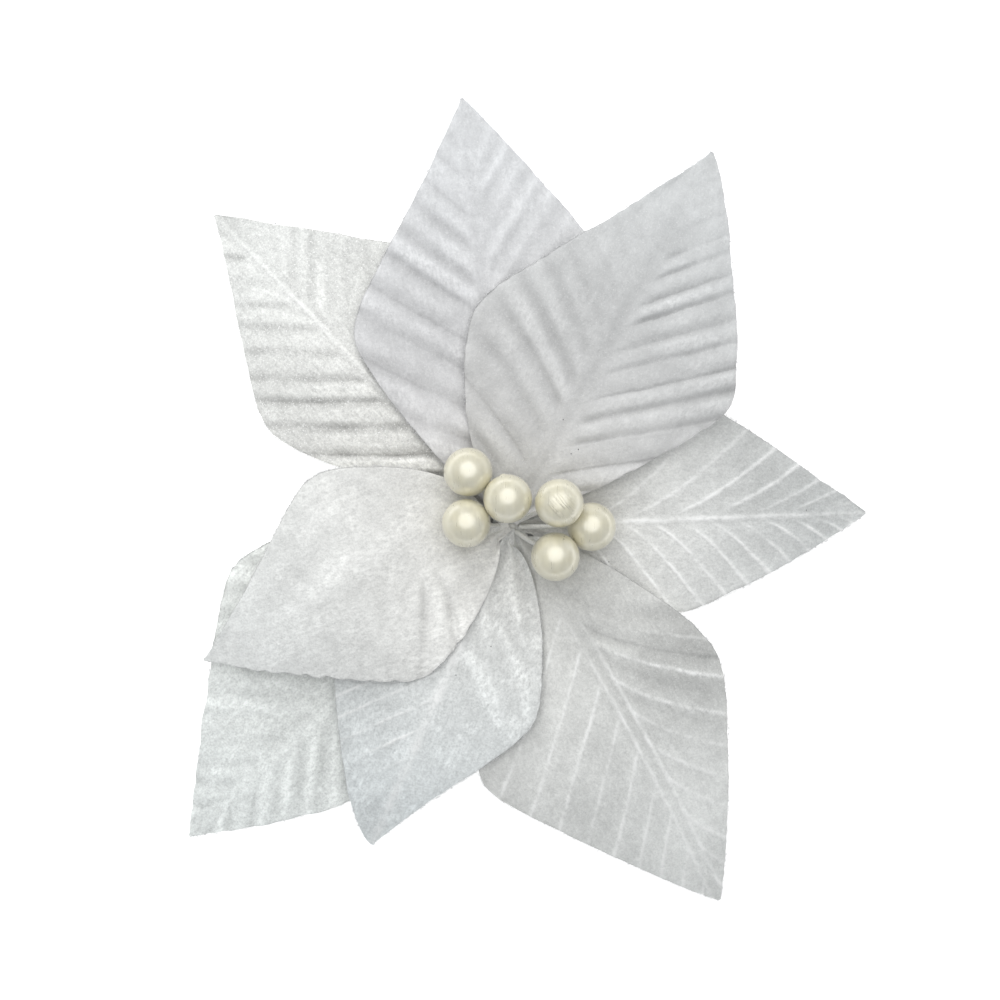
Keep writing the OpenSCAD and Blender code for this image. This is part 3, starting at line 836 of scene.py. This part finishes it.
def make_fray(leaf, fibre, grit):
    """Short loose fibres of pile round a leaf's cut edge, and the few dark specks caught in it."""
    random = np.random.default_rng(leaf.seed)
    count = 700
    side = random.choice([-1.0, 1.0], count)
    s = leaf.length * random.uniform(0.16, 0.995, count)
    half = leaf.half_at(s, side)
    t = side * (half - 0.05)
    relief, _ = leaf.relief(s, t, side)
    z = leaf.middle_z(s, t, side) + relief + leaf.edge_wave(s, side)
    z += random.uniform(-0.12, 0.2, count)
    roots = leaf.place(s, t, z)
    lean = random.uniform(-0.9, 1.1, count)
    outwards = side * random.uniform(0.5, 1.2, count)
    ways = leaf.place(s + lean, t + outwards, z) - roots
    ways[:, 2] += random.uniform(-0.35, 0.55, count)
    ways = unit(ways)
    reach = random.uniform(0.25, 0.62, count)
    sag = random.uniform(-0.12, 0.12, (count, 3))
    middles = roots + ways * (0.55 * reach)[:, None] + sag * reach[:, None]
    ends = roots + ways * reach[:, None]
    across = unit(np.cross(ways, [0, 0, 1.0]))
    root_ring = three_round(roots, ways, across, 0.035)
    middle_ring = three_round(middles, ways, across, 0.028)
    points = np.stack(root_ring + middle_ring + [ends], 1).reshape(-1, 3)
    one = [[2, 1, 0], [0, 1, 4, 3], [1, 2, 5, 4], [2, 0, 3, 5], [3, 4, 6], [4, 5, 6], [5, 3, 6]]
    faces = [[corner + 7 * k for corner in face] for k in range(count) for face in one]
    which = [0] * len(faces)
    for place in leaf.specks:
        speck, corners = make_speck(leaf, *np.array(place)[:, None])
        faces += [[len(points) + corner for corner in face] for face in speck]
        which += [1] * len(speck)
        points = np.concatenate([points, corners])
    return new_piece(leaf.name + "_fray", points, faces, [fibre, grit], "flower", which)


# ---- Pearls and stems ----
PEARL_R = 4.0
PEARLS = [
    (-7.2, 8.8, 21.1), (-7.5, 0.4, 21.4), (-0.7, 4.4, 22.9),
    (7.7, 3.7, 22.9), (13.1, -0.2, 18.3), (7.1, -5.1, 20.7),
]
PEARL_WITH_NUB = 2
PEARL_NUB = np.array([-0.2, 0.97, 0.14])
SCUFFED_PEARL = 3
STEM_ROOT_TURNS = [140, 190, 90, 35, -10, -60]
STEM_ROOT_R = 1.2
STEM_ROOT_Z = 15.2
STEM_R = 0.4


def pearl_line(i):
    """A pearl's centre, its stem's root and the direction between them."""
    centre = np.array([*HUB, 0]) + PEARLS[i]
    turn = math.radians(STEM_ROOT_TURNS[i])
    root = np.array([*HUB, STEM_ROOT_Z])
    root[:2] += STEM_ROOT_R * math.cos(turn), STEM_ROOT_R * math.sin(turn)
    return centre, root, unit(centre - root)


def frame_of(way):
    """Two directions square to way and to each other."""
    side = unit(np.cross(way, [0.2, 0.9, 0.1]))
    return side, np.cross(way, side)


def make_pearl(i, material):
    """A bead with its drilled hole and lip, a faint moulding seam and a slightly uneven coat."""
    centre, _, way = pearl_line(i)
    side, up = frame_of(way)
    hole_r = 0.47
    hole_end = 0.9
    tilt = np.linspace(math.asin((hole_r + 0.12) / PEARL_R), math.pi - 0.02, 90)
    turn = turns_round(96)
    outwards = ring_at(turn, side, up)
    # rings from the floor of the hole, out over its lip, and round the bead to the far pole
    radii = np.array([0.02, hole_r, hole_r, hole_r + 0.03, *PEARL_R * np.sin(tilt)])[:, None]
    lip = [0.12 - PEARL_R, 0.045 - PEARL_R]
    depths = np.array([hole_end, hole_end, *lip, *-PEARL_R * np.cos(tilt)])[:, None]
    swell = 0.02 * noise(np.cos(turn) * 1.3 + 7 * i, depths / 2.5, 300 + i)
    seam = -0.012 * bell(depths, 0.12)
    if i == PEARL_WITH_NUB:
        out = (depths[..., None] * way + radii[..., None] * outwards) / PEARL_R
        swell += 0.3 * bell(np.linalg.norm(out - PEARL_NUB, axis=-1), math.sqrt(0.012))
    outside = (np.arange(len(radii)) > 3)[:, None]
    reach = radii * (1 + np.where(outside, (swell + seam) / PEARL_R, 0))
    points = (centre + depths[..., None] * way + reach[..., None] * outwards).reshape(-1, 3)
    faces = tube_faces(len(radii), len(turn))
    piece = new_piece(f"pearl_{i + 1}_bead", points, faces, [material], "flower")
    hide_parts(f"pearl_{i + 1}")


def make_stem(i, material):
    """A wire wrapped in thread, with the winding's ridges, from the glue to inside the pearl."""
    centre, root, way = pearl_line(i)
    side, _ = frame_of(way)
    free = np.linalg.norm(centre - root) - PEARL_R
    inside_pearl = 4.8
    steps = int((free + inside_pearl) / 0.07)
    along = np.linspace(0, free + inside_pearl, steps)
    bow = 0.14 * np.sin(math.pi * np.clip(along / free, 0, 1)) ** 2
    path = root + along[:, None] * way + bow[:, None] * side
    pitch = 0.45

    def winding(k, turn):
        bare = smoothstep(free - 0.3, free, along[k])
        ridge = 0.07 * np.cos(turn - 2 * math.pi * along[k] / pitch)
        return (1 - 0.08 * bare) * (1 + (1 - bare) * (ridge - 0.07))

    points, faces = sweep(path, np.full(steps, STEM_R), 20, winding)
    piece = new_piece(f"stem_{i + 1}_wire", points, faces, [material], "flower")
    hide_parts(f"stem_{i + 1}")


# ---- Glue and felt ----
FELT_TOP_Z = 11.0
FELT_Z = 9.8
FELT_R = 19.0
GLUE_TOP_Z = 16.2
GLUE_R = 3.0
ARM_TOP_Z = 9.5
ARM_W = 8.0
CHANNEL_HALF = 4.3
CHANNEL_TOP_Z = 10.1


def make_hub_glue(material):
    """A lumpy drop of hot glue with a wide foot and a narrow top, gathered in by the leaves."""
    turn = turns_round(96)
    dome = 0.78
    rise = np.append(np.linspace(0, dome, 26), 1 - (1 - dome) * (1 - np.linspace(0, 1, 30)[1:]) ** 2)
    z = FELT_TOP_Z + (GLUE_TOP_Z - 0.7 - FELT_TOP_Z) * rise
    narrow = 1.0 - 0.66 * smoothstep(0.25, 0.7, rise)
    profile = narrow * np.sqrt(np.clip(1 - (np.maximum(rise - dome, 0) / 0.2201) ** 2, 0, 1))
    lumps = 1 + 0.07 * noise(np.cos(turn) * 1.6, rise[:, None] * 4, 411)
    lumps += 0.03 * noise(turn * 3, rise[:, None] * 9, 412)
    reach = GLUE_R * profile[:, None] * lumps
    reach[-1] = 0.02
    x = HUB[0] + np.cos(turn) * reach
    y = HUB[1] + np.sin(turn) * reach
    points = np.stack([x, y, z[:, None] + 0 * x], -1).reshape(-1, 3)
    faces = tube_faces(len(z), len(turn))
    piece = new_piece("hub_glue_bead", points, faces, [material], "flower")
    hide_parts("hub_glue")


def make_fuzz(fibre):
    """Short fibres that stand out from the felt's rim."""
    random = np.random.default_rng(77)
    count = 900
    around = random.uniform(0, 2 * math.pi, count)
    out = np.stack([np.cos(around), np.sin(around), random.uniform(-0.4, 0.4, count)], 1)
    thick = FELT_TOP_Z - FELT_Z
    roots = np.array([*HUB, FELT_Z + thick / 2]) + out * [FELT_R - 0.1, FELT_R - 0.1, thick * 0.8]
    ways = unit(out + random.uniform(-0.9, 0.9, (count, 3)) * [1, 1, 0.5])
    ends = roots + ways * random.uniform(0.3, 0.8, count)[:, None]
    across = unit(np.cross(ways, [0, 0.1, 1.0]))
    points = np.stack(three_round(roots, ways, across, 0.03) + [ends], 1).reshape(-1, 3)
    one = [[2, 1, 0], [0, 1, 3], [1, 2, 3], [2, 0, 3]]
    faces = [[corner + 4 * k for corner in face] for k in range(count) for face in one]
    return new_piece("felt_backing_fuzz", points, faces, [fibre], "flower")


def make_felt(material, fibre):
    """The felt disc with soft edges, a pressed channel for the clip's arm and a fuzzy rim."""
    turn = turns_round(288)
    inner = np.linspace(0.03, 0.985, 60) * FELT_R
    edge = np.radians(np.linspace(80, -80, 9))
    edge_r = 0.28
    # rings from the middle of the top, out round the edge, and back to the middle of the bottom
    radial = np.concatenate([inner, FELT_R - edge_r + edge_r * np.cos(edge), inner[::-1]])[:, None]
    flat = np.ones(len(inner))
    height = np.concatenate([flat, np.sin(edge), -flat])[:, None]
    wobble = 1 + 0.006 * noise(turn * 9, 0, 421) + 0.003 * noise(turn * 40, 0, 422)
    x = HUB[0] + radial * wobble * np.cos(turn)
    y = HUB[1] + radial * wobble * np.sin(turn)
    matted = 0.03 * noise(x / 0.9, y / 0.9, 423) + 0.02 * noise(x / 0.4, y / 0.4, 424)
    in_channel = 1 - smoothstep(CHANNEL_HALF - 0.15, CHANNEL_HALF + 0.15, np.abs(x - HUB[0]))
    bottom = FELT_Z + 0.04 + (CHANNEL_TOP_Z - FELT_Z) * in_channel
    top = FELT_TOP_Z - 0.04
    z = (top + bottom) / 2 + (top - bottom) / 2 * height + matted * np.abs(height)
    points = np.stack([x, y, z], -1).reshape(-1, 3)
    faces = tube_faces(len(radial), len(turn))
    piece = new_piece("felt_backing_disc", points, faces, [material], "flower")
    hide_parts("felt_backing")
    fuzz = make_fuzz(fibre)


def make_arm_glue(material):
    """The squeezed bed of glue between the clip's arm and the felt."""
    rows, columns = 90, 26
    half_w = ARM_W / 2 - 0.35
    half_l = FELT_R - 1.6
    along, across = np.meshgrid(np.linspace(-1, 1, rows), np.linspace(-1, 1, columns), indexing="ij")
    round_end = np.sqrt(np.clip(1 - np.abs(along) ** 14, 0.02, 1))
    edge = 1 + 0.06 * noise(along * 9 + 3 * np.sign(across), np.sign(across), 431)
    x = HUB[0] + half_w * across * round_end * edge
    y = HUB[1] + half_l * along
    bulge = 0.03 * (1 - across ** 6) - 0.04
    skins = [np.stack([x, y, z], -1) for z in (CHANNEL_TOP_Z + bulge, ARM_TOP_Z - bulge)]
    points = np.stack(skins).reshape(-1, 3)
    faces = np.concatenate(sheet_faces(rows, columns))
    piece = new_piece("arm_glue_bed", points, faces, [material], "flower")
    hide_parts("arm_glue")


# ---- Clip ----
PIVOT = np.array([HUB[0], -18.0, 6.0])
SPRING_WIRE_R = 0.3
SPRING_R = 1.35
SPRING_TURNS = 4.5
SPRING_HALF_W = 1.5
LOWER_LEG = [
    (-1.5, -9.5, -3.1), (-1.5, -6, -2.35), (-1.5, -3, -1.65), (-1.5, -1.2, -1.4), (-1.56, -0.35, -1.38),
]
UPPER_LEG = [(1.5, -1.2, 1.4), (1.5, -3, 1.5), (1.5, -6, 1.85), (1.5, -9.5, 2.4)]


def rounded_path(corners, spacing):
    """A smooth line through corner points, with points about spacing apart."""
    corners = np.array(corners, float)
    guides = [2 * corners[0] - corners[1], *corners, 2 * corners[-1] - corners[-2]]
    line = []
    for a, b, c, d in zip(guides, guides[1:], guides[2:], guides[3:]):
        steps = max(2, int(np.linalg.norm(c - b) / spacing))
        u = np.linspace(0, 1, steps, endpoint=False)[:, None]
        line.append(0.5 * (2 * b + (c - a) * u + (2 * a - 5 * b + 4 * c - d) * u ** 2
                           + (3 * b - a - 3 * c + d) * u ** 3))
    return np.concatenate(line + [corners[-1:]])


def bar(name, path, material, body):
    """A round wire with slightly rounded cut ends."""
    radii = np.full(len(path), SPRING_WIRE_R)
    radii[[0, -1]] *= 0.72
    radii[[1, -2]] *= 0.93
    points, faces = sweep(PIVOT + path, radii, 24)
    piece = new_piece(name, points, faces, [material], body)
    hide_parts("spring")


def make_spring(material):
    """The coil and its upper leg stay with the flower, and the lower leg swings with the jaw."""
    part = np.linspace(0, 1, int(SPRING_TURNS * 48) + 1)
    turn = np.radians(270 + 360 * SPRING_TURNS * part)
    coil = np.stack([
        SPRING_HALF_W * (2 * part - 1), SPRING_R * np.cos(turn), SPRING_R * np.sin(turn),
    ], 1)
    upper = rounded_path(UPPER_LEG, 0.25)
    bar("spring_coil", np.concatenate([coil, upper]), material, "flower")
    bar("spring_lower_leg", rounded_path(LOWER_LEG, 0.25), material, "lower_jaw")


def dress(node, material):
    """Gives its material to a CAD node that stays as it is."""
    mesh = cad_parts[node].data
    mesh.materials.clear()
    mesh.materials.append(material)


# ---- Studio ----

def make_floor():
    """A pale floor, 6 m wide, just under the leaf tips."""
    look = Look(
        "studio_floor", Base_Color=(0.92, 0.92, 0.92, 1), Roughness=0.9, Specular_IOR_Level=0.1,
        Emission_Color=(1, 1, 1, 1), Emission_Strength=0.5,
    )
    mesh = bpy.data.meshes.new("studio_floor")
    corners = [(-3, -3, 0), (3, -3, 0), (3, 3, 0), (-3, 3, 0)]
    mesh.from_pydata(corners, [], [(0, 1, 2, 3)])
    mesh.materials.append(look.material)
    floor = add_object("studio_floor", mesh)
    floor.location.z = -0.02 * MM


def area_light(name, place, size, watts, colour=(1, 1, 1)):
    """A round light at a place in metres, turned towards the flower."""
    data = bpy.data.lights.new(name, "AREA")
    data.shape = "DISK"
    data.size = size
    data.energy = watts
    data.color = colour
    light = add_object(name, data)
    light.location = place
    light.rotation_euler = (-Vector(place)).to_track_quat("-Z", "Y").to_euler()
    return light


def make_studio():
    make_floor()
    area_light("softbox", (0.0, 0.22, 0.95), 1.5, 7.3, (1.0, 0.995, 0.985))
    side_light = area_light("side_light", (-0.35, 0.95, 0.46), 0.45, 4.6)
    side_light.visible_glossy = False
    world = bpy.data.worlds.new("studio")
    world.use_nodes = True
    background = world.node_tree.nodes["Background"]
    background.inputs["Color"].default_value = (0.93, 0.96, 1.0, 1)
    background.inputs["Strength"].default_value = 0.42
    bpy.context.scene.world = world
    bpy.context.scene.view_settings.view_transform = "Standard"


def make_camera():
    """Straight above the flower, 0.76 m over the leaves, with its frame 167 mm wide there."""
    leaf_height = 8 * MM
    distance = 0.76
    frame_width = 0.16667
    data = bpy.data.cameras.new("camera")
    data.sensor_width = 36
    data.lens = data.sensor_width * distance / frame_width
    camera = add_object("camera", data)
    camera.location = (-4.57 * MM, 0, leaf_height + distance)
    bpy.context.scene.camera = camera


make_camera()
make_studio()
fibre_look = loose_fibre("loose_fibre", 0.745)
grit_look = loose_fibre("dark_speck", 0.06)
for leaf in LEAVES:
    make_leaf(leaf, fibre_look, grit_look)
thread_look = wrapped_thread()
smooth_pearl = pearl_coat("pearl_coat")
scuffed_place = pearl_line(SCUFFED_PEARL)[0] + [0.6, -0.7, 3.8]
scuffed_pearl = pearl_coat("pearl_coat_scuffed", scuffed_place)
for i in range(len(PEARLS)):
    make_pearl(i, scuffed_pearl if i == SCUFFED_PEARL else smooth_pearl)
    make_stem(i, thread_look)
glue_look = hot_glue()
make_hub_glue(glue_look)
make_felt(wool_felt(), fibre_look)
make_arm_glue(glue_look)
dress("clip_upper_arm", nickel_plate("nickel_upper_arm", 0.72, 1))
dress("clip_lower_arm", nickel_plate("nickel_lower_arm", 0.70, 1))
dress("hinge_pin", nickel_plate("nickel_pin", 0.66, 0))
make_spring(nickel_plate("drawn_steel", 0.5, 0))
